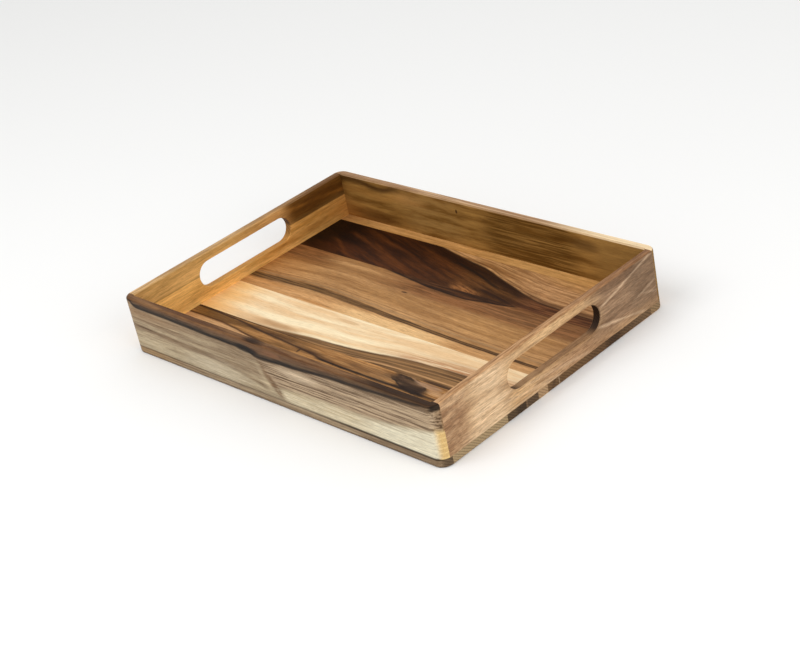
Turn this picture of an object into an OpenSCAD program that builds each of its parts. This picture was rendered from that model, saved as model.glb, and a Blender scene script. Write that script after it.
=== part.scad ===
// Rectangular wooden serving tray with a hand slot through each short end.
// Millimetres, +Z up, +X along the long side, +Y from the front wall to the back wall.
// Origin: under the middle of the tray, at the underside.

/* [Tray] */
// Outside length
tray_l = 400; // [340:5:460]
// Outside width
tray_w = 285; // [250:5:320]
// Outside height
tray_h = 58; // [54:1:80]
// Radius of the upright outside corners, seen from above
corner_r = 10; // [6:0.5:14]

/* [Walls] */
// Thickness of the four walls
wall_t = 8; // [7.5:0.5:10]
// Rounding along the outside of the top edge
rim_r = 2; // [1:0.5:3]
// Chamfer along the inside of the top edge
rim_c = 1.2; // [0.3:0.1:2]

/* [Base] */
// Full thickness of the base board, up to the tray floor
base_t = 12; // [11:0.5:14]
// Height of the rim that the walls stand on
ledge_h = 8; // [7:0.5:9]
// Rounding along the bottom edge
foot_r = 1.5; // [0.5:0.5:2.5]
// Width of the front edge stave
stave_1_w = 10.5; // [10.5:0.5:12]
// Width of the second stave
stave_2_w = 65.5; // [60:0.5:70]
// Width of the third stave
stave_3_w = 50.5; // [42:0.5:58]
// Width of the fourth stave
stave_4_w = 81.5; // [74:0.5:88]
// Width of the fifth stave
stave_5_w = 57.5; // [52:0.5:60]

/* [Hand slots] */
// Length of each hand slot
slot_l = 118; // [100:1:135]
// Height of each hand slot
slot_h = 26.5; // [24:0.5:28]
// Height of the slot's lower edge above the underside
slot_z = 22.5; // [22:0.5:26]
// Chamfer round both mouths of the slot
slot_c = 0.6; // [0.3:0.1:2]

/* [Dowels] */
// Diameter of the upright dowels between base and walls
base_dowel_d = 4; // [3:0.5:4]
// Length of an upright dowel
base_dowel_l = 14; // [11:1:15]
// Depth of an upright dowel in the base
base_dowel_in = 5; // [4:0.5:6]
// Diameter of the dowels through the corner joints
corner_dowel_d = 3; // [2:0.5:3]
// Length of a corner dowel
corner_dowel_l = 20; // [16:1:24]
// Depth of a corner dowel in the long wall
corner_dowel_in = 4; // [3:0.5:4.5]

/* [Part shown] */
// One part, or all of them

/* [Hidden] */

half_l = tray_l / 2;
half_w = tray_w / 2;
inner_l = half_l - wall_t;
inner_w = half_w - wall_t;
corner_x = half_l - corner_r;
corner_y = half_w - corner_r;
slot_mid = slot_z + slot_h / 2;

// Glue lines between the staves, measured in Y.
joint_1 = -half_w + stave_1_w;
joint_2 = joint_1 + stave_2_w;
joint_3 = joint_2 + stave_3_w;
joint_4 = joint_3 + stave_4_w;
joint_5 = joint_4 + stave_5_w;

// Places of the dowels. The corner ones stand a little inward, clear of the round corners.
corner_dowel_z = [18, 44];
corner_dowel_x = inner_l + 3;
long_dowel_x = [-150, -50, 50, 150];
end_dowel_y = [-105, 0, 105];
wall_mid_x = half_l - wall_t / 2;
wall_mid_y = half_w - wall_t / 2;

big = 20;
sides = 72;

PINE = [0.86, 0.74, 0.55];
LIGHT = [0.80, 0.62, 0.40];
TAN = [0.66, 0.49, 0.33];
BROWN = [0.42, 0.28, 0.17];
DARK = [0.27, 0.17, 0.10];

// Section through the outer part of a wall, up from the rim of the base. Its outer face is at corner_r.
module wall_section(w) {
    translate([corner_r - w, ledge_h]) {
        square([w, tray_h - rim_r - ledge_h]);
        square([w - rim_r, tray_h - ledge_h]);
    }
    translate([corner_r - rim_r, tray_h - rim_r])
        circle(r = rim_r, $fn = sides);
}

// Section through the edge of the base, up to the rim.
module base_section(w) {
    translate([corner_r - w, 0]) {
        square([w - foot_r, ledge_h]);
        translate([0, foot_r])
            square([w, ledge_h - foot_r]);
    }
    translate([corner_r - foot_r, foot_r])
        circle(r = foot_r, $fn = sides);
}

// Runs a section straight along the front, from one corner to the other.
module along_length() {
    translate([-corner_x, -corner_y, 0])
        rotate([90, 0, 90])
            mirror([1, 0, 0])
                linear_extrude(height = 2 * corner_x)
                    children();
}

// Runs a section straight along the right-hand end, from one corner to the other.
module along_width() {
    translate([corner_x, corner_y, 0])
        rotate([90, 0, 0])
            linear_extrude(height = 2 * corner_y)
                children();
}

// Turns a section about the centre of each upright corner.
module round_corners() {
    for (sx = [0, 1])
        for (sy = [0, 1])
            mirror([sx, 0, 0])
                mirror([0, sy, 0])
                    translate([corner_x, corner_y, 0])
                        rotate_extrude(angle = 90, $fn = sides)
                            children();
}

// The base as one board: rounded bottom edge, a low rim, and the raised floor inside it.
module base_board() {
    for (s = [0, 1]) {
        mirror([0, s, 0])
            along_length()
                base_section(corner_r);
        mirror([s, 0, 0])
            along_width()
                base_section(corner_r);
    }
    round_corners()
        base_section(corner_r);
    translate([-corner_x, -corner_y, 0])
        cube([2 * corner_x, 2 * corner_y, ledge_h]);
    translate([-inner_l, -inner_w, ledge_h])
        cube([2 * inner_l, 2 * inner_w, base_t - ledge_h]);
}

// The length of the base between two glue lines, with its dowel holes.
module stave(y0, y1) {
    difference() {
        intersection() {
            base_board();
            translate([-half_l - big, y0, -big])
                cube([tray_l + 2 * big, y1 - y0, base_t + 2 * big]);
        }
        base_dowel_set();
    }
}

// The four walls as one ring.
module wall_ring() {
    for (s = [0, 1]) {
        mirror([0, s, 0])
            along_length()
                wall_section(wall_t);
        mirror([s, 0, 0])
            along_width()
                wall_section(wall_t);
    }
    round_corners()
        wall_section(corner_r);
}

// The space inside the walls, wider at the top for the chamfered rim.
module inside() {
    translate([-inner_l, -inner_w, 0])
        cube([2 * inner_l, 2 * inner_w, tray_h + big]);
    for (s = [-1, 1]) {
        translate([0, s * inner_w, tray_h])
            rotate([45, 0, 0])
                cube([2 * inner_l, rim_c * sqrt(2), rim_c * sqrt(2)], center = true);
        translate([s * inner_l, 0, tray_h])
            rotate([0, 45, 0])
                cube([rim_c * sqrt(2), 2 * inner_w, rim_c * sqrt(2)], center = true);
    }
}

// One cross-section of the hand slot, grown by "grow" on every side.
module slot_outline(grow) {
    reach = slot_l / 2 - slot_h / 2;
    square([2 * reach, slot_h + 2 * grow], center = true);
    for (s = [-1, 1])
        translate([s * reach, 0])
            circle(r = slot_h / 2 + grow, $fn = sides);
}

// The chamfer round one mouth of a slot: cones at the round ends, bars along the straight sides.
module slot_mouth() {
    reach = slot_l / 2 - slot_h / 2;
    for (s = [-1, 1])
        translate([0, s * reach, 0])
            cylinder(h = 2 * slot_c, r1 = slot_h / 2, r2 = slot_h / 2 + 2 * slot_c, $fn = sides);
    rotate([90, 0, 0])
        linear_extrude(height = 2 * reach, center = true)
            polygon([
                [-slot_h / 2, 0],
                [slot_h / 2, 0],
                [slot_h / 2 + 2 * slot_c, 2 * slot_c],
                [-slot_h / 2 - 2 * slot_c, 2 * slot_c]
            ]);
}

// The cutter for one hand slot, side = 1 for the right end and -1 for the left end.
module slot_cutter(side) {
    translate([side * wall_mid_x, 0, slot_mid]) {
        rotate([90, 0, 90])
            linear_extrude(height = wall_t + 2 * big, center = true)
                slot_outline(0);
        for (face = [-1, 1])
            rotate([0, face * 90, 0])
                translate([0, 0, wall_t / 2 - slot_c])
                    slot_mouth();
    }
}

// A full-length wall, side = 1 for the back and -1 for the front.
module long_wall(side) {
    difference() {
        intersection() {
            wall_ring();
            translate([0, side * (half_w + big / 2), 0])
                cube([tray_l + 2 * big, 2 * wall_t + big, 4 * tray_h], center = true);
        }
        inside();
        corner_dowel_set();
        base_dowel_set();
    }
}

// A short wall that fits between the long walls, side = 1 for the right and -1 for the left.
module end_wall(side) {
    difference() {
        intersection() {
            wall_ring();
            translate([side * (half_l + big / 2), 0, 0])
                cube([2 * wall_t + big, 2 * inner_w, 4 * tray_h], center = true);
        }
        inside();
        slot_cutter(side);
        corner_dowel_set();
        base_dowel_set();
    }
}

// Dowels through the butt joints, two in each corner.
module corner_dowel_set() {
    for (sx = [-1, 1])
        for (sy = [-1, 1])
            for (z = corner_dowel_z)
                translate([sx * corner_dowel_x, sy * (inner_w + corner_dowel_in), z])
                    rotate([sy * 90, 0, 0])
                        cylinder(h = corner_dowel_l, d = corner_dowel_d, $fn = sides);
}

// Upright dowels between the rim of the base and the walls.
module base_dowel_set() {
    z = ledge_h - base_dowel_in;
    for (s = [-1, 1]) {
        for (x = long_dowel_x)
            translate([x, s * wall_mid_y, z])
                cylinder(h = base_dowel_l, d = base_dowel_d, $fn = sides);
        for (y = end_dowel_y)
            translate([s * wall_mid_x, y, z])
                cylinder(h = base_dowel_l, d = base_dowel_d, $fn = sides);
    }
}

module base_stave_1() {
    color(BROWN)
        stave(-half_w - big, joint_1);
}

module base_stave_2() {
    color(TAN)
        stave(joint_1, joint_2);
}

module base_stave_3() {
    color(LIGHT)
        stave(joint_2, joint_3);
}

module base_stave_4() {
    color(BROWN)
        stave(joint_3, joint_4);
}

module base_stave_5() {
    color(DARK)
        stave(joint_4, joint_5);
}

module base_stave_6() {
    color(LIGHT)
        stave(joint_5, half_w + big);
}

module front_wall() {
    color(TAN)
        long_wall(-1);
}

module back_wall() {
    color(DARK)
        long_wall(1);
}

module left_end_wall() {
    color(BROWN)
        end_wall(-1);
}

module right_end_wall() {
    color(TAN)
        end_wall(1);
}

module corner_dowels() {
    color(PINE)
        corner_dowel_set();
}

module base_dowels() {
    color(PINE)
        base_dowel_set();
}

base_stave_1();
base_stave_2();
base_stave_3();
base_stave_4();
base_stave_5();
base_stave_6();
front_wall();
back_wall();
left_end_wall();
right_end_wall();
corner_dowels();
base_dowels();
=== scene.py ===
import math

import bpy
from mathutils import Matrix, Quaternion, Vector

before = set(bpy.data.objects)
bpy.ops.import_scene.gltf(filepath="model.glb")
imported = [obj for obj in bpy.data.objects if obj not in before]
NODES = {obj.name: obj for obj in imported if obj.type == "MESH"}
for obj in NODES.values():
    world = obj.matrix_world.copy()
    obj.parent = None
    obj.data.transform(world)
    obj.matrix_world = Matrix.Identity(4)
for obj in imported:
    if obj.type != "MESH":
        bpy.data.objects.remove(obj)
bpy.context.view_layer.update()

# Sizes of the tray in mm, as the materials use them.
HALF_LENGTH = 200.0
HALF_WIDTH = 142.5
HEIGHT = 58.0
INNER_LENGTH = 192.0
FLOOR_TOP = 12.0

# Surface finish shared by all the boards.
ROUGHNESS = 0.5
SPECULAR = 0.12
BUMP_STRENGTH = 0.4
BUMP_DEPTH = 0.0002

# Softened edge on the boards, in metres.
ARRIS_WIDTH = 0.00035
ARRIS_ANGLE = math.radians(35)


# ---------------------------------------------------------------- node helpers

def rgb(r, g, b):
    """An sRGB colour, 0 to 255, as a linear RGBA tuple."""
    def lin(c):
        c /= 255
        return c / 12.92 if c <= 0.04045 else ((c + 0.055) / 1.055) ** 2.4
    return (lin(r), lin(g), lin(b), 1.0)


class Val:
    """A number that varies over the surface, so figures can be written as sums."""

    def __init__(self, tree, socket):
        self.t = tree
        self.s = socket

    def _op(self, op, other, flip=False):
        a, b = (other, self) if flip else (self, other)
        return self.t.math(op, a, b)

    def __add__(self, o): return self._op("ADD", o)
    def __radd__(self, o): return self._op("ADD", o)
    def __sub__(self, o): return self._op("SUBTRACT", o)
    def __rsub__(self, o): return self._op("SUBTRACT", o, True)
    def __mul__(self, o): return self._op("MULTIPLY", o)
    def __rmul__(self, o): return self._op("MULTIPLY", o)
    def __truediv__(self, o): return self._op("DIVIDE", o)
    def __abs__(self): return self.t.math("ABSOLUTE", self)


class Tree:
    """Builds one material. Lengths are in millimetres in the row frame."""

    def __init__(self, name):
        self.mat = bpy.data.materials.new(name)
        self.mat.use_nodes = True
        self.nodes = self.mat.node_tree.nodes
        self.links = self.mat.node_tree.links
        self.nodes.clear()
        self.coords = self.nodes.new("ShaderNodeTexCoord")
        mm = self.nodes.new("ShaderNodeVectorMath")
        mm.operation = "SCALE"
        mm.inputs["Scale"].default_value = 1000.0
        self.links.new(self.coords.outputs["Object"], mm.inputs[0])
        split = self.nodes.new("ShaderNodeSeparateXYZ")
        self.links.new(mm.outputs[0], split.inputs[0])
        self.x, self.y, self.z = (Val(self, split.outputs[i]) for i in range(3))

    def put(self, value, socket):
        if isinstance(value, Val):
            self.links.new(value.s, socket)
        elif isinstance(value, bpy.types.NodeSocket):
            self.links.new(value, socket)
        else:
            socket.default_value = value

    def math(self, op, *args):
        n = self.nodes.new("ShaderNodeMath")
        n.operation = op
        for i, a in enumerate(args):
            self.put(a, n.inputs[i])
        return Val(self, n.outputs[0])

    def step(self, v, lo, hi):
        """0 below lo, 1 above hi, smooth between. lo may be above hi."""
        n = self.nodes.new("ShaderNodeMapRange")
        n.interpolation_type = "SMOOTHSTEP"
        flip = lo > hi
        self.put(v, n.inputs["Value"])
        n.inputs["From Min"].default_value = min(lo, hi)
        n.inputs["From Max"].default_value = max(lo, hi)
        n.inputs["To Min"].default_value = 1.0 if flip else 0.0
        n.inputs["To Max"].default_value = 0.0 if flip else 1.0
        return Val(self, n.outputs["Result"])

    def band(self, v, lo, hi, soft):
        return self.step(v, lo - soft, lo + soft) * self.step(v, hi + soft, hi - soft)

    def line(self, d, width):
        return self.step(abs(d), width, 0.0)

    def curve(self, v, points):
        """A smooth curve through (position, value) points."""
        xs = [p[0] for p in points]
        ys = [p[1] for p in points]
        x0, x1 = min(xs), max(xs)
        y0, y1 = min(ys), max(ys)
        span = (y1 - y0) or 1.0
        n = self.nodes.new("ShaderNodeFloatCurve")
        c = n.mapping.curves[0]
        for i, (px, py) in enumerate(points):
            at = ((px - x0) / (x1 - x0), (py - y0) / span)
            if i == 0:
                c.points[0].location = at
            elif i == len(points) - 1:
                c.points[-1].location = at
            else:
                c.points.new(*at)
        n.mapping.extend = "HORIZONTAL"
        n.mapping.update()
        self.put((v - x0) / (x1 - x0), n.inputs["Value"])
        return Val(self, n.outputs[0]) * span + y0

    def vec(self, a, b, c):
        n = self.nodes.new("ShaderNodeCombineXYZ")
        for i, v in enumerate((a, b, c)):
            self.put(v, n.inputs[i])
        return n.outputs[0]

    def noise(self, a, b, c, detail=4.0, rough=0.55, warp=0.0):
        n = self.nodes.new("ShaderNodeTexNoise")
        n.inputs["Scale"].default_value = 1.0
        n.inputs["Detail"].default_value = detail
        n.inputs["Roughness"].default_value = rough
        n.inputs["Distortion"].default_value = warp
        self.links.new(self.vec(a, b, c), n.inputs["Vector"])
        return Val(self, n.outputs[0])

    def mix(self, fac, a, b):
        n = self.nodes.new("ShaderNodeMix")
        n.data_type = "RGBA"
        self.put(fac, n.inputs[0])
        self.put(a, n.inputs[6])
        self.put(b, n.inputs[7])
        return n.outputs[2]

    def gain(self, colour, amount):
        n = self.nodes.new("ShaderNodeVectorMath")
        n.operation = "SCALE"
        self.put(colour, n.inputs[0])
        self.put(amount, n.inputs["Scale"])
        return n.outputs[0]

    def tint(self, fac, colour, by):
        """Multiplies a colour by another where fac is 1."""
        n = self.nodes.new("ShaderNodeMix")
        n.data_type = "RGBA"
        n.blend_type = "MULTIPLY"
        self.put(fac, n.inputs[0])
        self.put(colour, n.inputs[6])
        n.inputs[7].default_value = (*by, 1.0)
        return n.outputs[2]

    def most(self, first, *rest):
        for v in rest:
            first = self.math("MAXIMUM", first, v)
        return first

    def spot(self, a, b, ra, rb, soft=0.35):
        """1 inside an oval of half sizes ra and rb around a = b = 0."""
        r = a * a * (1.0 / ra ** 2) + b * b * (1.0 / rb ** 2)
        return self.step(r, 1.0 + soft, 1.0 - soft * 2)


# ---------------------------------------------------------------- walnut

class Board(Tree):
    """Walnut. u runs along the fibres, v and w across them, and n is the face direction."""

    def __init__(self, name, along, seed):
        super().__init__(name)
        self.seed = seed * 37.0
        normal = self.nodes.new("ShaderNodeSeparateXYZ")
        self.links.new(self.coords.outputs["Normal"], normal.inputs[0])
        self.nx, self.ny, self.nz = (Val(self, normal.outputs[i]) for i in range(3))
        if along == "x":
            self.u, self.v, self.w, self.nu = self.x, self.y, self.z, self.nx
        else:
            self.u, self.v, self.w, self.nu = self.y, self.x, self.z, self.ny
        self.sway = self.noise(self.u * 0.007 + self.seed, self.v * 0.02, self.w * 0.02, 2.0) - 0.5
        self.ripple = self.noise(self.u * 0.03 + self.seed, self.v * 0.09, self.w * 0.09, 2.0) - 0.5

    def broad(self, length, width, at=0.0, flow=0.0, detail=3.0):
        """Soft streaks of about this length and width, 0 to 1."""
        v = self.v + flow + self.sway * 6.0
        return self.noise(self.u / length + self.seed + at, v / width, self.w / width, detail, 0.55)

    def vein(self, d, width, at=0.0):
        """A dark line whose width swells and shrinks along the board."""
        swell = self.noise(self.u * 0.025 + self.seed + at, 0.0, at, 3.0) * 2.0 - 0.1
        return self.line(d / swell, width)

    def end_face(self):
        """1 on the faces across the long side."""
        return self.step(abs(self.nx), 0.5, 0.9)

    def top_face(self):
        """1 on the faces that look up."""
        return self.step(self.nz, 0.5, 0.9)

    def finish(self, colour, light=1.0, streak=0.5, pores=0.35, flow=0.0, ends=0.72,
               warm=(1.0, 1.0, 1.0), rings=1.0, flecks=0.9):
        """Adds the fibres, pores, end grain and rubbed edges, partly lightened as a painted edge
        highlight, and closes the material.
        """
        u, w, s = self.u, self.w, self.seed
        v = self.v + flow + self.sway * 8.0 + self.ripple * 1.2
        fine = self.noise(u * 0.012 + s, v * 0.62, w * 0.62, 6.0, 0.66)
        hair = self.noise(u * 0.04 + s, v * 2.4, w * 2.4, 3.0, 0.6)
        growth = self.noise(u * 0.005 + s, v * 0.24, w * 0.24, 4.0, 0.6)
        thread = self.line(self.math("FRACT", growth * 14.0) - 0.5, 0.22)
        end = self.step(abs(self.nu), 0.45, 0.85)
        side = 1.0 - end
        dark = self.step(fine, 0.50, 0.28) * side
        pale = self.step(fine, 0.50, 0.74) * side
        colour = self.tint(dark * streak, colour, (0.50, 0.40, 0.31))
        colour = self.tint(thread * side * streak * (0.15 + fine * 0.7), colour, (0.62, 0.52, 0.44))
        grit = self.noise(u * 0.09 + s, v * 0.85, w * 0.85, 3.0, 0.65) - 0.5
        colour = self.gain(colour,
            (1.0 + pale * (streak * 0.5)) * (1.0 + (hair - 0.5) * (streak * 0.8) + grit * flecks))
        pore = self.step(self.noise(u * 0.12 + s, v * 1.35, w * 1.35, 2.0, 0.5), 0.57, 0.70)
        colour = self.tint(pore * pores * side, colour, (0.42, 0.34, 0.26))
        ring = self.noise(u * 0.01 + s, self.v * 0.04, w * 0.05, 2.0, 0.5) * 2.0
        ring = self.math("FRACT", ring + self.v * 0.24 + w * 0.34)
        ring = self.step(abs(ring - 0.5), 0.10, 0.5) * rings
        dots = self.step(self.noise(u * 0.5 + s, self.v * 2.3, w * 2.3, 1.0), 0.60, 0.70)
        colour = self.gain(colour, 1.0 - end * (1.0 - ends) - end * ring * 0.26 - end * dots * 0.22)
        reach = self.math("SUBTRACT", HALF_LENGTH, abs(self.x))
        depth = self.math("SUBTRACT", HALF_WIDTH, abs(self.y))
        drop = self.math("SUBTRACT", HEIGHT, self.z)
        # Outer edges at the top and bottom, in patches: rubbed wear, made rougher, and partly a painted
        # edge highlight.
        rubbed_and_highlit_edge = self.most(
            self.step(reach + drop, 3.2, 1.4), self.step(depth + drop, 3.2, 1.4),
            self.step(reach + self.z, 2.8, 1.0), self.step(depth + self.z, 2.8, 1.0),
        ) * self.step(self.noise(self.x * 0.08, self.y * 0.08, self.z * 0.08 + s, 3.0), 0.36, 0.62)
        # Lightens those edges by up to 16 percent, partly as a painted highlight.
        colour = self.tint(1.0, self.gain(colour, (1.0 + rubbed_and_highlit_edge * 0.16) * (1.0 / light)), warm)
        bsdf = self.nodes.new("ShaderNodeBsdfPrincipled")
        self.put(colour, bsdf.inputs["Base Color"])
        self.put(ROUGHNESS + (hair - 0.5) * 0.16 + pore * 0.14 + end * 0.12 + rubbed_and_highlit_edge * 0.08,
            bsdf.inputs["Roughness"])
        bsdf.inputs["Specular IOR Level"].default_value = SPECULAR
        bump = self.nodes.new("ShaderNodeBump")
        bump.inputs["Strength"].default_value = BUMP_STRENGTH
        bump.inputs["Distance"].default_value = BUMP_DEPTH
        self.put(hair * 0.5 + fine * 0.4 - pore * 0.8 - dots * end * 0.5, bump.inputs["Height"])
        self.links.new(bump.outputs[0], bsdf.inputs["Normal"])
        out = self.nodes.new("ShaderNodeOutputMaterial")
        self.links.new(bsdf.outputs[0], out.inputs["Surface"])
        return self.mat


def stave_1():
    """Front edge stave, seen only as the low rim under the front wall."""
    b = Board("walnut_dark_edge", "x", 1)
    c = b.mix(b.step(b.broad(160, 14), 0.35, 0.65), rgb(130, 106, 80), rgb(176, 154, 124))
    c = b.mix(b.step(b.x, -110, -165) * 0.6, c, rgb(168, 134, 90))
    lines = b.noise(b.x * 0.008, b.z * 0.55 + b.ripple, b.y * 0.1, 4.0, 0.66)
    c = b.tint(b.step(lines, 0.50, 0.36) * 0.75, c, (0.62, 0.56, 0.50))
    c = b.mix(b.line(b.z - 7.4, 1.4) * (0.45 + b.step(b.x, 20, 110) * 0.45), c, rgb(44, 30, 20))
    c = b.mix(b.step(b.z, 3.0, 0.5) * 0.75, c, rgb(80, 58, 38))
    c = b.mix(b.end_face(), c, rgb(126, 103, 78))
    return b.finish(c, 1.1, 0.5)


def stave_2():
    """Tan stave with a pale sapwood side and a dark flame near its right end."""
    b = Board("walnut_tan", "x", 2)
    x, y = b.x, b.y + (FLOOR_TOP - b.z) * 0.4 + b.ripple * 2.5
    c = b.mix(b.step(b.broad(110, 7), 0.36, 0.62), rgb(118, 82, 42), rgb(180, 132, 80))
    gold = b.step(x, -60, 10) * b.band(y, -83, -66, 2)
    c = b.mix(gold * 0.75, c, b.mix(b.step(b.broad(60, 4, 3.0), 0.38, 0.6), rgb(138, 92, 48),
        rgb(206, 154, 98)))
    low = b.curve(x, [(-200, -80), (-160, -79.5), (-130, -81), (-110, -84), (-60, -90), (0, -96),
        (80, -98), (200, -104)])
    sap = b.step(y - low, 0.5, -2.0)
    c = b.mix(sap, c, b.mix(b.step(b.broad(140, 8, 5.0), 0.36, 0.64), rgb(196, 150, 106),
        rgb(230, 190, 144)))
    heart = y - b.curve(x, [(-200, -150), (0, -132), (90, -118), (200, -112)])
    c = b.mix(b.step(heart, 1.5, -1.5) * 0.85, c, rgb(120, 84, 50))
    c = b.mix(b.vein(heart, 2.4, 2.0) * 0.8, c, rgb(62, 36, 18))
    c = b.mix(b.vein(y - low, 2.4, 4.0) * 0.85, c, rgb(70, 40, 18))
    top = b.curve(x, [(-200, -68), (-150, -69), (-120, -71), (-100, -73.5), (-70, -76), (-40, -78),
        (-20, -80), (0, -82.5), (30, -84), (100, -83.5)])
    c = b.mix(b.band(x, -100, 10, 20) * b.line(y - top - 3.0, 5.0) * 0.6, c, rgb(78, 50, 28))
    c = b.mix(b.vein(y - top, 3.2, 6.0) * 0.9, c, rgb(46, 24, 10))
    c = b.mix(b.vein(b.y + 83.6, 2.0, 8.0) * b.band(x, -10, 118, 8), c, rgb(30, 14, 6))
    smoke = b.step(b.noise(b.x * 0.03, b.y * 0.16, 4.0, 4.0, 0.6), 0.36, 0.60)
    c = b.mix(b.spot(x - 66, y + 77, 44, 8, 0.8) * (0.3 + smoke * 0.4), c, rgb(104, 84, 64))
    flame = y - b.curve(x, [(60, -63), (72, -67), (90, -74), (105, -79), (120, -82)])
    rag = y + (b.noise(b.x * 0.10, b.y * 0.25, 6.0, 3.0, 0.6) - 0.5) * 9.0
    crest = rag - b.curve(x, [(66, -64), (76, -66), (92, -68), (108, -70.5), (122, -78)])
    belly = rag - b.curve(x, [(66, -67), (80, -76), (96, -82), (110, -85)])
    span = b.band(x, 76, 120, 6)
    c = b.mix(b.step(crest, 1.0, -1.5) * b.step(belly, -1.5, 1.0) * span * 0.85, c,
              b.mix(smoke, rgb(92, 70, 54), rgb(48, 34, 26)))
    c = b.mix(b.most(b.line(crest, 2.6), b.line(belly, 2.2)) * span * 0.9, c, rgb(26, 17, 12))
    wedge = b.step(y - b.curve(x, [(60, -84), (85, -81), (100, -77), (118, -76), (140, -80)]), 2.0, -2.0)
    c = b.mix(wedge * b.step(y, -87, -84) * b.band(x, 80, 120, 8) * 0.85, c, rgb(40, 24, 16))
    c = b.mix(b.spot(x - 116, y + 70, 17, 3.2) * 0.7, c, rgb(168, 136, 112))
    c = b.mix(b.line(flame - 9.0, 1.4) * b.band(x, 92, 130, 8) * 0.6, c, rgb(190, 150, 118))
    c = b.mix(b.spot(x - 129, y + 76, 10, 3.4, 0.7) * 0.8, c, rgb(222, 178, 134))
    c = b.mix(b.spot(x + 35, y + 82, 1.6, 3.0) * 0.7, c, rgb(36, 18, 8))
    c = b.mix(b.line(b.y + 67.2, 1.6) * b.step(x, 30, -60) * 0.85, c, rgb(50, 28, 12))
    c = b.mix(b.end_face(), c, rgb(205, 178, 140))
    return b.finish(c, 1.12, 0.62, warm=(1.01, 0.98, 0.89))


def stave_3():
    """Cream stave with a brown heartwood side towards the front."""
    b = Board("walnut_cream", "x", 3)
    x, y = b.x, b.y + (FLOOR_TOP - b.z) * 0.5 + b.ripple * 1.6
    edge = b.curve(x, [(-200, -70), (-100, -66), (-40, -60), (0, -57), (30, -53), (60, -48), (90, -45),
        (120, -43), (200, -42)])
    d = y - edge
    flow = (edge + 56.0) * b.step(d, 58, 0) * -0.9
    c = b.mix(b.step(b.broad(150, 9, 0.0, flow), 0.34, 0.66), rgb(238, 204, 160), rgb(255, 240, 206))
    # Painted reflected light: the left end turns orange, standing in for the glow the golden left wall
    # throws onto the floor.
    c = b.mix(b.step(x, -130, -185) * 0.75, c, rgb(244, 190, 112))
    c = b.mix(b.spot(x + 30, y + 24, 16, 2.4) * 0.4, c, rgb(190, 150, 108))
    c = b.mix(b.spot(x + 92, y + 59, 30, 4.0, 0.7) * 0.65, c, rgb(176, 134, 90))
    blush = b.step(x, 10, 90) * b.step(d, 17, 2)
    c = b.mix(blush * (0.25 + 0.75 * b.step(b.broad(50, 2.2, 2.0, flow), 0.42, 0.58)), c,
        rgb(188, 134, 92))
    c = b.mix(b.step(d, 13.0, 1.0) * b.band(x, -130, -60, 24) * 0.45, c, rgb(172, 130, 88))
    brown = b.mix(b.step(b.broad(90, 1.6, 7.0, flow), 0.36, 0.62), rgb(98, 70, 42), rgb(158, 120, 78))
    c = b.mix(b.step(d, 1.2, -1.2), c, brown)
    c = b.mix(b.vein(d + 1.2, 3.2, 2.0) * b.step(x, -90, 10) * 0.6, c, rgb(66, 42, 24))
    c = b.mix(b.vein(d + 7.0, 1.4, 5.0) * b.step(x, -20, 40) * 0.5, c, rgb(70, 46, 28))
    pale = y - b.curve(x, [(10, -68), (20, -67), (60, -62), (135, -60), (200, -60)])
    c = b.mix(b.line(pale, 1.8) * b.step(x, 15, 30) * 0.8, c, rgb(206, 160, 112))
    c = b.mix(b.line(pale + 2.4, 1.4) * b.step(x, 20, 60) * 0.5, c, rgb(70, 46, 28))
    c = b.mix(b.spot(x - 124, y + 64.5, 22, 1.8) * 0.8, c, rgb(50, 28, 14))
    c = b.mix(b.spot(x - 112, y + 35, 30, 7, 0.9) * 0.35, c, rgb(186, 142, 100))
    end = b.end_face()
    c = b.mix(end * b.step(b.y, -44, -41), c, rgb(114, 92, 70))
    c = b.mix(end * b.step(b.y, -29, -27), c, rgb(208, 172, 132))
    c = b.mix(end * b.step(b.y, -42, -44), c, rgb(108, 88, 66))
    c = b.mix(end * b.step(abs(b.y + 49), 8, 4) * 0.6, c, rgb(70, 54, 40))
    return b.finish(c, 1.08, 0.17, 0.18, flow=flow, warm=(1.03, 0.99, 0.92), flecks=0.4)


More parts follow.
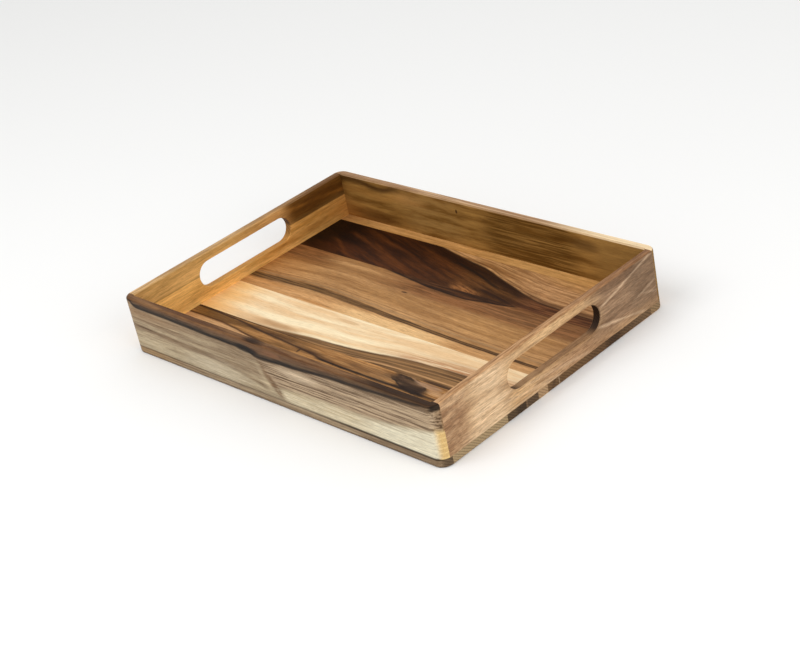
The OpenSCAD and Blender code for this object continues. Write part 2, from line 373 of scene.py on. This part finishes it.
def stave_4():
    """Brown stave with a grey-brown streak along it and a dark dip at the back."""
    b = Board("walnut_brown", "x", 4)
    x, y = b.x, b.y + (FLOOR_TOP - b.z) * 0.45 + b.ripple * 1.8
    mid = b.curve(x, [(-200, 0), (-190, 1), (-160, 3), (-130, 5.5), (-100, 6.5), (-80, 6), (-60, 4.5),
        (-30, 3), (0, 1), (30, -0.5), (60, -2), (100, -3.5), (200, -5)])
    c = b.mix(b.step(b.broad(140, 9, 0.0, mid * -1.0), 0.34, 0.66), rgb(160, 118, 74), rgb(200, 156, 108))
    # Painted reflected light: the left end turns orange-brown, standing in for the glow bounced from the
    # golden left wall.
    c = b.mix(b.step(x, -110, -185) * 0.6, c, rgb(172, 116, 56))
    c = b.mix(b.spot(x - 104, y - 25, 56, 16, 0.9) * 0.4, c, rgb(208, 162, 106))
    c = b.mix(b.spot(x + 30, y - 25, 44, 12, 0.9) * 0.35, c, rgb(200, 156, 104))
    c = b.mix(b.spot(x + 102, y - 25, 28, 11, 0.9) * 0.35, c, rgb(150, 108, 64))
    red = b.step(y, 34, 46) * b.step(x, -90, 0) + b.step(y, 34, 50) * b.step(x, -110, -160)
    c = b.mix(red * 0.8, c, b.mix(b.step(b.broad(80, 4, 4.0), 0.4, 0.6), rgb(98, 60, 32),
        rgb(142, 94, 58)))
    low = b.step(y, 0, -8)
    c = b.mix(low * 0.85, c, b.mix(b.step(b.broad(120, 6, 6.0), 0.36, 0.62), rgb(192, 142, 90),
        rgb(226, 178, 126)))
    c = b.mix(low * b.band(x, -55, 75, 30) * 0.75, c, rgb(244, 208, 158))
    # Painted reflected light: the same orange glow from the left wall on the paler front part of the
    # stave.
    c = b.mix(low * b.step(x, -120, -170) * 0.5, c, rgb(180, 126, 66))
    c = b.mix(low * b.step(x, 60, 120) * 0.4, c, rgb(182, 142, 98))
    half = b.curve(x, [(-200, 4.6), (-100, 3.8), (-20, 2.6), (60, 1.6), (200, 1.2)])
    d = y - mid
    inside = b.step(abs(d) / half, 1.4, 0.6)
    c = b.mix(inside * 0.9, c, b.mix(b.step(b.broad(60, 2.0, 8.0), 0.4, 0.6), rgb(62, 42, 20),
        rgb(120, 88, 52)))
    c = b.mix(b.vein(abs(d) - half, 1.5, 3.0) * b.step(x, -120, 0) * 0.8, c, rgb(54, 32, 16))
    c = b.mix(b.line(d - 7.0, 2.6) * 0.45, c, rgb(150, 126, 98))
    c = b.mix(b.vein(d - 11.0, 1.2, 7.0) * 0.5, c, rgb(96, 64, 36))
    c = b.mix(b.spot(x + 20, y - 40, 4, 1.2) * 0.8, c, rgb(60, 34, 18))
    dip = b.curve(x, [(-80, 67.5), (-60, 65), (-30, 61), (0, 57), (20, 56), (40, 56), (60, 59), (80, 62),
        (95, 65.5), (110, 69)])
    e = y - dip
    dark = b.mix(b.step(b.broad(60, 3.4, 9.0), 0.38, 0.62), rgb(50, 28, 12), rgb(88, 54, 28))
    c = b.mix(b.step(e, -1.0, 0.6), c, dark)
    c = b.mix(b.vein(e, 2.2, 1.0) * b.band(x, -70, 98, 6) * 0.9, c, rgb(30, 14, 6))
    c = b.mix(b.line(b.y - 65.2, 0.9) * b.step(x, 98, 106) * 0.7, c, rgb(60, 34, 18))
    end = b.end_face()
    c = b.mix(end * 0.85, c, b.mix(b.step(b.y, 58, 62), rgb(126, 98, 72), rgb(98, 76, 56)))
    c = b.mix(end * b.line(b.y + 1.5, 0.9), c, rgb(206, 180, 150))
    return b.finish(c, 1.14, 0.5, 0.4, flow=mid * -1.0, warm=(1.04, 0.97, 0.84))


def stave_5():
    """Chocolate stave whose dark tongue narrows to the right against pale sapwood."""
    b = Board("walnut_chocolate", "x", 5)
    x, y = b.x, b.y + (FLOOR_TOP - b.z) * 0.45 + b.ripple * 2.0
    slope = x * b.curve(x, [(-200, 0.30), (-60, 0.26), (60, 0.22), (200, 0.08)])
    lean = b.noise(b.u * 0.009 + 3.0, (y + slope) * 0.10, b.z * 0.1, 5.0, 0.62, 0.3)
    edge = b.curve(x, [(-80, 131), (-52, 123), (0, 112), (20, 108), (50, 98), (75, 90), (90, 85),
        (115, 80), (135, 79), (200, 77)])
    d = y - edge
    c = b.mix(b.step(lean, 0.36, 0.68), rgb(54, 28, 6), rgb(112, 72, 34))
    c = b.mix(b.step(x, -110, -165) * b.step(y, 70, 84) * 0.9, c, rgb(22, 6, 0))
    c = b.mix(b.spot(x + 145, y - 80, 30, 9, 0.9) * 0.45, c, rgb(104, 60, 30))
    c = b.mix(b.step(d, -17, -3) * b.step(x, -120, -60) * 0.75, c, rgb(42, 21, 7))
    for pts, wide, much in (
        ([(-156, 107), (-150, 105), (-105, 91), (-60, 75), (-50, 71)], 5.0, 0.4),
        ([(-166, 90), (-160, 88), (-125, 68), (-120, 66)], 4.0, 0.45),
        ([(-110, 108), (-80, 101), (-30, 84), (20, 72)], 4.0, 0.35),
        ([(-20, 98), (10, 88), (50, 77)], 3.0, 0.35),
    ):
        lo, hi = pts[0][0], pts[-1][0]
        near = b.line(y - b.curve(x, pts), wide) * b.band(x, lo, hi, 12)
        c = b.mix(near * much, c, rgb(134, 88, 48))
    c = b.tint(b.step(x, 60, -30), c, (0.60, 0.42, 0.24))
    c = b.mix(b.step(x, 76, 112) * 0.75, c, b.mix(b.step(b.broad(60, 2.4, 2.0), 0.4, 0.6), rgb(82, 46, 26),
        rgb(132, 84, 52)))
    low = y - b.curve(x, [(0, 80), (20, 77), (58, 67), (70, 63)])
    licks = b.step(b.noise(b.x * 0.09, (y + x * 0.3) * 0.34, 3.0, 3.0, 0.6), 0.40, 0.58)
    c = b.mix(b.step(low, 1.5, -5.0) * b.band(x, 16, 52, 12) * (0.25 + 0.6 * licks), c, rgb(172, 114, 64))
    c = b.mix(b.vein(low + 4.0, 1.6, 3.0) * b.band(x, 16, 56, 8) * 0.6, c, rgb(84, 48, 24))
    c = b.mix(b.line(y - b.curve(x, [(40, 77), (60, 73), (90, 66)]), 3.4) * b.band(x, 44, 90, 6) * 0.8, c,
        rgb(44, 22, 10))
    sap = b.mix(b.step(b.broad(90, 4, 5.0, edge * -0.55), 0.36, 0.62), rgb(146, 102, 60),
        rgb(200, 152, 102))
    sap = b.mix(b.step(x, 30, 110) * 0.7, sap, b.mix(b.step(b.broad(70, 2.4, 1.0, edge * -0.55), 0.4, 0.6),
        rgb(162, 118, 80), rgb(212, 164, 118)))
    sap = b.mix(b.step(d, 26, 40) * 0.5, sap, rgb(208, 156, 92))
    c = b.mix(b.step(d, -1.2, 1.2), c, sap)
    c = b.mix(b.vein(d, 2.4, 1.0) * 0.9, c, rgb(38, 18, 6))
    c = b.mix(b.vein(d - 4.0, 1.6, 4.0) * 0.5, c, rgb(96, 60, 32))
    c = b.mix(b.line(d - 3.0, 5.0) * b.step(x, 70, 100) * 0.8, c, rgb(92, 58, 34))
    second = y - b.curve(x, [(-10, 104), (0, 102), (20, 97), (45, 88), (60, 83)])
    c = b.mix(b.step(abs(second), 2.4, 0.8) * b.band(x, -14, 60, 12) * 0.8, c, rgb(24, 10, 3))
    end = b.end_face()
    c = b.mix(end * 0.85, c, b.mix(b.step(b.y, 72, 116), rgb(92, 70, 50), rgb(128, 104, 80)))
    return b.finish(c, 1.08, 0.42, 0.3, flow=slope * b.step(d, 2.0, -6.0) * 0.9 - edge * 0.55 * b.step(d,
        -6.0, 2.0),
                    warm=(1.0, 0.97, 0.90), flecks=1.5)


def stave_6():
    """Golden stave along the back wall."""
    b = Board("walnut_golden", "x", 6)
    c = b.mix(b.step(b.broad(150, 8), 0.36, 0.64), rgb(166, 116, 58), rgb(214, 160, 96))
    c = b.mix(b.step(b.broad(60, 2.6, 4.0), 0.58, 0.7) * 0.4, c, rgb(140, 92, 46))
    c = b.mix(b.step(b.x, -10, 50) * 0.5, c, rgb(226, 172, 104))
    c = b.mix(b.step(b.x, -130, -185) * 0.5, c, rgb(146, 98, 48))
    c = b.mix(b.end_face() * 0.8, c, rgb(166, 138, 104))
    return b.finish(c, 1.08, 0.45, 0.25)


def front_wall():
    """Long wall with a black-edged band on top, a kink left of the middle and a cream foot."""
    b = Board("walnut_front", "x", 7)
    x, z = b.x, b.z + (b.y + HALF_WIDTH) * 0.35 + b.ripple * 1.6
    soft = b.noise(b.u * 0.010, b.z * 0.16, b.y * 0.1, 3.0)
    fine = b.noise(b.u * 0.010 + 5, z * 0.62, b.y * 0.2, 5.0, 0.66)
    pale = b.mix(b.step(soft, 0.36, 0.64), rgb(156, 134, 106), rgb(190, 170, 138))
    pale = b.mix(b.step(z, 26, 14) * 0.5, pale, rgb(204, 188, 156))
    pale = b.mix(b.step(x, -70, -170) * b.step(z, 32, 46) * 0.45, pale, rgb(168, 130, 92))
    pale = b.mix(b.step(fine, 0.46, 0.32) * 0.45, pale, rgb(108, 84, 60))
    lines = b.mix(b.step(fine, 0.54, 0.42), rgb(196, 170, 138), rgb(110, 86, 64))
    turn = x - b.curve(z, [(4, 22), (9, 14), (14, 8), (22, 0), (30, -5), (40, -10), (46, -20), (50, -30)])
    right = b.step(turn, -2.5, 2.5)
    floorline = b.curve(x, [(0, 14), (20, 20), (60, 23), (100, 23.5), (130, 25), (150, 27), (190, 33),
        (200, 35)])
    nose = b.noise(b.u * 0.012 + 2, (z + b.step(turn, -50, 0) * 9.0) * 0.7, 0.0, 4.0, 0.66)
    pale = b.tint(b.step(nose, 0.52, 0.36) * 0.6, pale, (0.70, 0.64, 0.56))
    c = b.mix(right * b.step(z - floorline, -2.0, 5.0) * 0.9, pale, lines)
    cream = right * b.step(z - floorline, 3.0, -4.0)
    c = b.mix(cream * 0.9, c, b.mix(b.step(fine, 0.34, 0.60), rgb(196, 176, 140), rgb(232, 218, 186)))
    c = b.mix(cream * b.step(x, 90, 150) * 0.6, c, rgb(244, 238, 212))
    under = b.curve(x, [(-200, 32), (-150, 29), (-100, 27.5), (-60, 23.5), (-30, 20), (-5, 14)])
    c = b.mix(b.vein(z - under, 4.0, 2.0) * b.step(x, -2, -14) * 0.6, c, rgb(112, 86, 60))
    c = b.mix(b.line(z - 30.5, 1.0) * b.band(x, -186, -164, 4) * 0.8, c, rgb(80, 54, 34))
    broken = b.step(b.noise(b.x * 0.12, b.z * 0.16, 2.0, 3.0), 0.36, 0.56)
    c = b.mix(b.line(turn, 4.0) * b.step(z, 46, 38) * b.step(z, 20, 30) * 0.45, c, rgb(126, 94, 64))
    streak = b.step(abs(turn - 1.0), 8.0, 1.5) * b.band(z, 9, 30, 5)
    c = b.mix(streak * (0.45 + broken * 0.4), c, rgb(126, 96, 66))
    c = b.mix(b.step(abs(turn - 2.0), 4.5, 0.5) * b.band(z, 11, 28, 4) * broken * 0.4, c, rgb(96, 68, 46))
    c = b.mix(b.line(turn + 7.0, 5.0) * b.band(z, 14, 38, 6) * 0.35, c, rgb(206, 186, 152))
    c = b.mix(b.spot(x - 38, z - 40, 26, 5.0, 0.8) * 0.75, c, rgb(230, 206, 174))
    c = b.mix(b.spot(x + 76, z - 15, 44, 10, 0.9) * 0.7, c, rgb(222, 208, 180))
    low = b.curve(x, [(-200, 57), (-190, 56), (-178, 50), (-130, 50), (-100, 49), (-50, 48), (-30, 48.5),
        (-8, 43.5), (0, 44), (20, 45.5), (50, 47.5), (80, 49.5), (100, 50.5), (130, 51.5), (160, 53), (200,
        57)])
    e = z - low
    band = b.mix(b.step(b.noise(b.u * 0.02 + 9, z * 0.35, b.y * 0.2, 3.0), 0.4, 0.62), rgb(50, 38, 28),
        rgb(98, 76, 54))
    band = b.mix(b.step(z, 52, 56) * 0.4, band, rgb(108, 78, 52))
    c = b.mix(b.step(e, -7.0, 0.0) * 0.35, c, rgb(118, 92, 66))
    c = b.mix(b.step(e, -1.0, 0.8), c, band)
    c = b.mix(b.step(e, 4.5, 7.0) * b.step(x, 110, 70) * 0.7, c, rgb(120, 86, 58))
    swell = b.noise(b.x * 0.03, 0.0, 7.0, 3.0) * 2.4
    c = b.mix(b.line(e - 0.8 - swell, 2.6) * 0.85, c, rgb(28, 20, 15))
    c = b.mix(b.spot(x + 25, z - 49.5, 16, 3.6) * 0.85, c, rgb(24, 15, 10))
    c = b.mix(b.spot(x - 8, z - 53, 13, 3.0, 0.8) * 0.6, c, rgb(146, 98, 66))
    top = b.top_face()
    c = b.mix(top * 0.85, c, b.mix(b.step(b.broad(60, 4, 3.0), 0.38, 0.62), rgb(92, 58, 32),
        rgb(136, 98, 62)))
    c = b.mix(top * b.step(x, 95, 135) * 0.85, c, rgb(40, 24, 14))
    c = b.mix(top * b.spot(x + 17, b.y + 139, 13, 6, 0.8) * 0.95, c, rgb(24, 14, 9))
    inner = b.step(b.y, -136.5, -135.0) * b.step(b.z, 57, 56)
    warm = b.mix(b.step(b.noise(b.u * 0.01 + 2, b.z * 0.14, 0.0, 4.0), 0.38, 0.62), rgb(124, 84, 46),
        rgb(186, 138, 86))
    c = b.mix(inner, c, warm)
    c = b.mix(b.step(b.z, 9.6, 8.2) * (0.25 + 0.65 * b.step(x, 0, 100)), c, rgb(44, 31, 22))
    end = b.step(b.nx, 0.50, 0.88)
    ring = b.step(abs(b.math("FRACT", b.z * 0.22 + b.ripple * 0.3) - 0.5), 0.5, 0.2)
    gold = b.mix(ring * 0.5, rgb(244, 208, 142), rgb(206, 164, 102))
    c = b.mix(b.step(b.nx, 0.30, 0.85) * b.step(z, 40, 33), c, gold)
    c = b.mix(end * b.step(z, 33, 40) * 0.8, c, b.tint(1.0, lines, (0.66, 0.58, 0.50)))
    c = b.mix(b.step(b.nx, 0.20, 0.60) * b.step(b.z, 51.5, 54.0) * 0.9, c, rgb(30, 20, 14))
    return b.finish(c, 1.13, 0.46, 0.25, ends=0.95, rings=0.0)


def back_wall():
    """Olive brown long wall, with pale sapwood low on its outer face."""
    b = Board("walnut_back", "x", 8)
    x, z = b.x, b.z + (HALF_WIDTH - b.y) * 0.3 + b.ripple * 2.2
    soft = b.noise(b.u * 0.012 + 11, z * 0.09, b.y * 0.03, 4.0, 0.58)
    c = b.mix(b.step(soft, 0.34, 0.62), rgb(112, 76, 28), rgb(160, 120, 62))
    c = b.mix(b.step(x, -120, -180) * b.step(z, 40, 20) * 0.5, c, rgb(158, 100, 40))
    wave = z - b.curve(x, [(-200, 44), (-170, 47), (-140, 43), (-110, 47), (-80, 42), (-40, 40)])
    c = b.mix(b.line(wave, 7.0) * b.step(x, -60, -110) * 0.55, c, rgb(158, 112, 54))
    c = b.mix(b.line(wave - 10, 6.0) * b.step(x, -90, -125) * 0.8, c, rgb(58, 32, 8))
    c = b.mix(b.spot(x + 148, z - 20, 34, 8.0, 0.9) * 0.85, c, rgb(62, 30, 2))
    c = b.mix(b.spot(x + 104, z - 27, 24, 12, 0.9) * 0.45, c, rgb(94, 56, 6))
    c = b.mix(b.spot(x - 20, z - 34, 28, 9, 0.9) * 0.3, c, rgb(66, 38, 4))
    c = b.mix(b.spot(x + 98, z - 49, 24, 6.5, 0.9) * 0.9, c, rgb(178, 132, 74))
    c = b.mix(b.band(x, -100, -32, 18) * 0.55 * b.step(soft, 0.36, 0.60), c, rgb(150, 116, 66))
    c = b.mix(b.spot(x + 33, z - 50, 1.4, 2.4) * 0.8, c, rgb(40, 20, 8))
    thin = b.step(b.noise(b.u * 0.012 + 4, z * 0.7, 0.0, 4.0), 0.44, 0.60)
    c = b.mix(b.band(x, 4, 112, 16) * (0.85 - 0.6 * thin), c, rgb(80, 50, 8))
    c = b.mix(b.step(x, 116, 150) * 0.55, c, rgb(148, 114, 62))
    c = b.mix(b.spot(x - 124, z - 48, 17, 6.5, 0.8) * 0.7, c, rgb(66, 42, 18))
    out = b.step(b.y, 136.5, 138.5) * b.step(b.nz, 0.8, 0.4)
    line = b.curve(x, [(-200, 30), (-120, 34), (-40, 29), (40, 24), (120, 20), (200, 22)])
    sap = b.mix(b.step(soft, 0.38, 0.62), rgb(188, 150, 104), rgb(224, 190, 142))
    c = b.mix(out * b.step(z - line, 1.5, -1.5), c, sap)
    c = b.mix(out * b.step(z - line, -1.5, 1.5) * 0.6, c, rgb(134, 96, 58))
    c = b.mix(out * b.vein(z - line - 0.8, 2.4, 2.0) * 0.7, c, rgb(60, 36, 18))
    top = b.top_face()
    c = b.mix(top * 0.9, c, b.mix(b.step(b.broad(90, 3, 3.0), 0.36, 0.62), rgb(150, 114, 82),
        rgb(200, 166, 130)))
    c = b.mix(top * b.step(x, 60, 150) * 0.8, c, rgb(236, 212, 172))
    return b.finish(c, 0.90, 0.34, 0.2, ends=0.85, flecks=0.4)


def slot_faces(b):
    """1 on the faces cut by a hand slot, 0 on the rest of an end wall."""
    return b.step(abs(b.nx), 0.75, 0.45) * b.band(b.z, 20, 51, 0.5) * b.step(abs(b.y), 61, 60)


def left_end_wall():
    """Golden end wall, browner above a sharp line."""
    b = Board("walnut_left", "y", 9)
    y, z = b.y, b.z + (b.x + INNER_LENGTH) * 0.3 + b.ripple * 1.4
    soft = b.noise(b.u * 0.014 + 21, z * 0.12, b.x * 0.04, 4.0, 0.58)
    gold = b.mix(b.step(soft, 0.36, 0.64), rgb(184, 130, 62), rgb(218, 164, 92))
    gold = b.mix(b.band(z, 17, 24, 2.5) * 0.5, gold, rgb(168, 110, 46))
    gold = b.mix(b.spot(y - 88, z - 21, 12, 3.2) * 0.35, gold, rgb(120, 74, 30))
    gold = b.mix(b.step(y, 40, 120) * 0.5, gold, rgb(144, 94, 38))
    up = b.mix(b.step(soft, 0.38, 0.62), rgb(158, 112, 60), rgb(192, 144, 86))
    up = b.mix(b.line(z - 41.5, 1.8) * b.step(y, -40, -70) * 0.45, up, rgb(206, 158, 98))
    up = b.mix(b.step(y, -112, -132) * 0.5, up, rgb(116, 64, 30))
    tail = b.mix(b.line(z - b.curve(y, [(50, 52), (90, 48), (134, 42)]), 3.5) * 0.6, rgb(90, 60, 20),
        rgb(146, 102, 46))
    tail = b.mix(b.step(soft, 0.56, 0.42) * 0.6, tail, rgb(72, 42, 10))
    up = b.mix(b.step(y, 46, 70) * 0.9, up, tail)
    edge = b.curve(y, [(-143, 39.5), (-120, 39), (0, 37.4), (55, 36), (143, 35)])
    c = b.mix(b.step(z - edge, -0.8, 0.8), gold, up)
    c = b.mix(b.line(z - edge, 1.1) * b.step(y, 20, -60) * 0.7, c, rgb(96, 58, 26))
    c = b.gain(c, 1.0 + b.step(y, 50, -20) * 0.10)
    c = b.mix(b.step(y, 50, -20) * 0.24, c, rgb(228, 200, 126))
    c = b.tint(b.step(y, 50, 70) * b.step(z, 36, 42), c, (0.82, 0.68, 0.45))
    hole = slot_faces(b)
    # Hand slot faces: golden, with the upper back end of the slot dark brown, partly dark wood and partly
    # painted shade.
    c = b.mix(hole * 0.7, c, b.mix(b.step(b.z, 33, 39) * b.step(y, 30, 50), rgb(176, 124, 60),
        rgb(84, 52, 20)))
    top = b.top_face() * b.step(b.z, 54, 56)
    peach = b.mix(b.step(b.broad(60, 3, 3.0), 0.38, 0.62), rgb(146, 112, 74), rgb(190, 156, 112))
    peach = b.mix(b.step(y, 30, 110) * 0.8, peach, rgb(96, 62, 34))
    c = b.mix(top * 0.9, c, peach)
    return b.finish(c, 0.82, 0.4, 0.3)


def right_end_wall():
    """Speckled rosy end wall with pale slanting lines."""
    b = Board("walnut_right", "y", 10)
    y, z = b.y, b.z + (HALF_LENGTH - b.x) * 0.3 + b.ripple * 1.2
    soft = b.noise(b.u * 0.014 + 31, z * 0.10, b.x * 0.04, 4.0, 0.6)
    speckle = b.noise(b.u * 0.28 + 7, b.z * 0.55, b.x * 0.3, 3.0, 0.6)
    c = b.mix(b.step(soft, 0.36, 0.64), rgb(172, 132, 90), rgb(216, 176, 128))
    c = b.mix(b.band(z, 6, 21, 3) * b.step(y, -60, 10) * 0.5, c, rgb(168, 128, 96))
    pink = b.mix(b.step(b.noise(b.u * 0.05 + 3, z * 0.12, 0.0, 3.0), 0.4, 0.6), rgb(148, 110, 80),
        rgb(188, 150, 114))
    c = b.mix(b.step(y, -98, -116) * 0.75, c, pink)
    taupe = b.mix(b.step(soft, 0.38, 0.62), rgb(122, 92, 68), rgb(156, 124, 96))
    c = b.mix(b.step(y, 30, 72) * b.step(z, 6, 22) * 0.9, c, taupe)
    for pts, much in (
        ([(-105, 26), (-55, 26.5)], 0.55),
        ([(60, 40), (110, 52), (130, 57)], 0.6),
        ([(105, 25), (135, 32)], 0.5),
        ([(55, 24), (80, 18), (115, 9.5)], 0.6),
        ([(115, 26), (135, 20)], 0.45),
        ([(-40, 21), (0, 15), (40, 9)], 0.35),
        ([(-70, 20), (-30, 13), (0, 9)], 0.35),
    ):
        near = b.vein(z - b.curve(y, pts), 2.6, pts[0][1]) * b.band(y, pts[0][0], pts[-1][0], 5)
        c = b.mix(near * much, c, rgb(226, 192, 156))
    c = b.mix(b.band(y, -100, -40, 10) * b.band(z, 51, 56, 2) * 0.5, c, rgb(226, 190, 146))
    c = b.mix(b.line(z - 9.2, 1.0) * b.band(y, -120, 0, 8) * 0.6, c, rgb(226, 196, 158))
    c = b.mix(b.line(z - 15, 1.6) * b.band(y, -30, 60, 12) * 0.3, c, rgb(140, 100, 74))
    c = b.mix(b.spot(y + 90, z - 13, 24, 7, 0.9) * 0.5, c, rgb(246, 216, 176))
    c = b.mix(b.spot(y + 118, z - 54, 14, 4.5, 0.9) * 0.5, c, rgb(226, 190, 148))
    c = b.gain(c, 0.66 + speckle * 0.68)
    inner = b.step(b.x, 194.0, 193.0) * b.step(b.nz, 0.8, 0.4)
    c = b.mix(inner * 0.8, c, b.mix(b.step(soft, 0.38, 0.62), rgb(138, 94, 52), rgb(190, 142, 90)))
    c = b.mix(b.band(y, -104, -62, 12) * (0.35 + 0.35 * b.step(soft, 0.40, 0.56)), c, rgb(244, 212, 172))
    c = b.gain(c, 1.0 - b.step(y, 90, 108) * 0.24)
    hole = slot_faces(b)
    # Painted shade inside the hand slot: its faces are darkened to brown.
    c = b.mix(hole * 0.6, c, rgb(134, 96, 64))
    # The curved ends of the slot are end grain, darker anyway, and are painted near-black as shade.
    c = b.mix(hole * b.step(abs(y), 42, 54) * 0.9, c, rgb(40, 22, 12))
    top = b.top_face() * b.step(b.z, 54, 56)
    peach = b.mix(b.step(b.broad(40, 2.0, 3.0), 0.38, 0.62), rgb(158, 114, 74), rgb(206, 160, 114))
    peach = b.mix(b.step(y, -40, 110) * 0.75, peach, rgb(134, 92, 60))
    c = b.mix(top * 0.9, c, peach)
    return b.finish(c, 1.14, 0.42, 0.55, flecks=1.3)


def beech_dowels(name, along):
    """Plain beech for the hidden dowels."""
    b = Board(name, along, 11)
    c = b.mix(b.step(b.broad(20, 2), 0.36, 0.64), rgb(206, 170, 126), rgb(226, 194, 152))
    return b.finish(c, 1.1, 0.3, 0.2)


MATERIALS = {
    "base_stave_1": stave_1(),
    "base_stave_2": stave_2(),
    "base_stave_3": stave_3(),
    "base_stave_4": stave_4(),
    "base_stave_5": stave_5(),
    "base_stave_6": stave_6(),
    "front_wall": front_wall(),
    "back_wall": back_wall(),
    "left_end_wall": left_end_wall(),
    "right_end_wall": right_end_wall(),
    "corner_dowels": beech_dowels("beech_corner_dowels", "y"),
    "base_dowels": beech_dowels("beech_base_dowels", "x"),
}
for node, material in MATERIALS.items():
    for slot in NODES[node].material_slots:
        slot.material = material
    if "dowels" in node:
        continue
    arris = NODES[node].modifiers.new("arris", "BEVEL")
    arris.width = ARRIS_WIDTH
    arris.segments = 2
    arris.limit_method = "ANGLE"
    arris.angle_limit = ARRIS_ANGLE


# ---------------------------------------------------------------- stage

FLOOR_HALF = 6.0
FLOOR_Z = -0.0001  # just under the tray, so the two faces don't coincide
floor = bpy.data.meshes.new("studio_floor")
corners = [(-1, -1), (1, -1), (1, 1), (-1, 1)]
floor.from_pydata([(a * FLOOR_HALF, b * FLOOR_HALF, FLOOR_Z) for a, b in corners], [], [(0, 1, 2, 3)])
floor_ob = bpy.data.objects.new("studio_floor", floor)
bpy.context.collection.objects.link(floor_ob)
fmat = bpy.data.materials.new("studio_floor")
fmat.use_nodes = True
fb = fmat.node_tree.nodes["Principled BSDF"]
fb.inputs["Base Color"].default_value = (0.93, 0.93, 0.92, 1)
fb.inputs["Roughness"].default_value = 0.9
fb.inputs["Specular IOR Level"].default_value = 0.1
floor.materials.append(fmat)

world = bpy.data.worlds.new("studio")
bpy.context.scene.world = world
world.use_nodes = True
world.node_tree.nodes["Background"].inputs[0].default_value = (1.0, 1.0, 1.0, 1)
world.node_tree.nodes["Background"].inputs[1].default_value = 0.75


def softbox(name, place, aim, size, power):
    light = bpy.data.lights.new(name, "AREA")
    light.shape = "RECTANGLE"
    light.size, light.size_y = size
    light.energy = power
    o = bpy.data.objects.new(name, light)
    o.location = place
    o.rotation_mode = "QUATERNION"
    o.rotation_quaternion = (Vector(aim) - Vector(place)).to_track_quat("-Z", "Y")
    bpy.context.collection.objects.link(o)
    return o


softbox("key_light", (-0.3, -1.1, 1.7), (0, 0, 0), (1.2, 1.2), 13)
softbox("side_light", (1.7, -0.2, 1.0), (0, 0, 0), (1.2, 1.0), 10)

# ---------------------------------------------------------------- camera

AZIMUTH, ELEVATION, ROLL = math.radians(50.56), math.radians(28.72), math.radians(-12.28)
DISTANCE = 3.953 * 0.4
cam = bpy.data.cameras.new("camera")
cam.sensor_width = 36.0
cam.lens = 78.68
cam.shift_x = 0.010
cam.shift_y = 0.00425
cam.dof.use_dof = False
cam.clip_start = 0.01
cam_ob = bpy.data.objects.new("camera", cam)
back = Vector((
    math.sin(AZIMUTH) * math.cos(ELEVATION),
    -math.cos(AZIMUTH) * math.cos(ELEVATION),
    math.sin(ELEVATION),
))
cam_ob.location = back * DISTANCE
cam_ob.rotation_mode = "QUATERNION"
cam_ob.rotation_quaternion = back.to_track_quat("Z", "Y") @ Quaternion((0, 0, 1), ROLL)
bpy.context.collection.objects.link(cam_ob)
bpy.context.scene.camera = cam_ob

view = bpy.context.scene.view_settings
view.view_transform = "Standard"
view.look = "None"
view.exposure = 0.0
view.gamma = 1.0
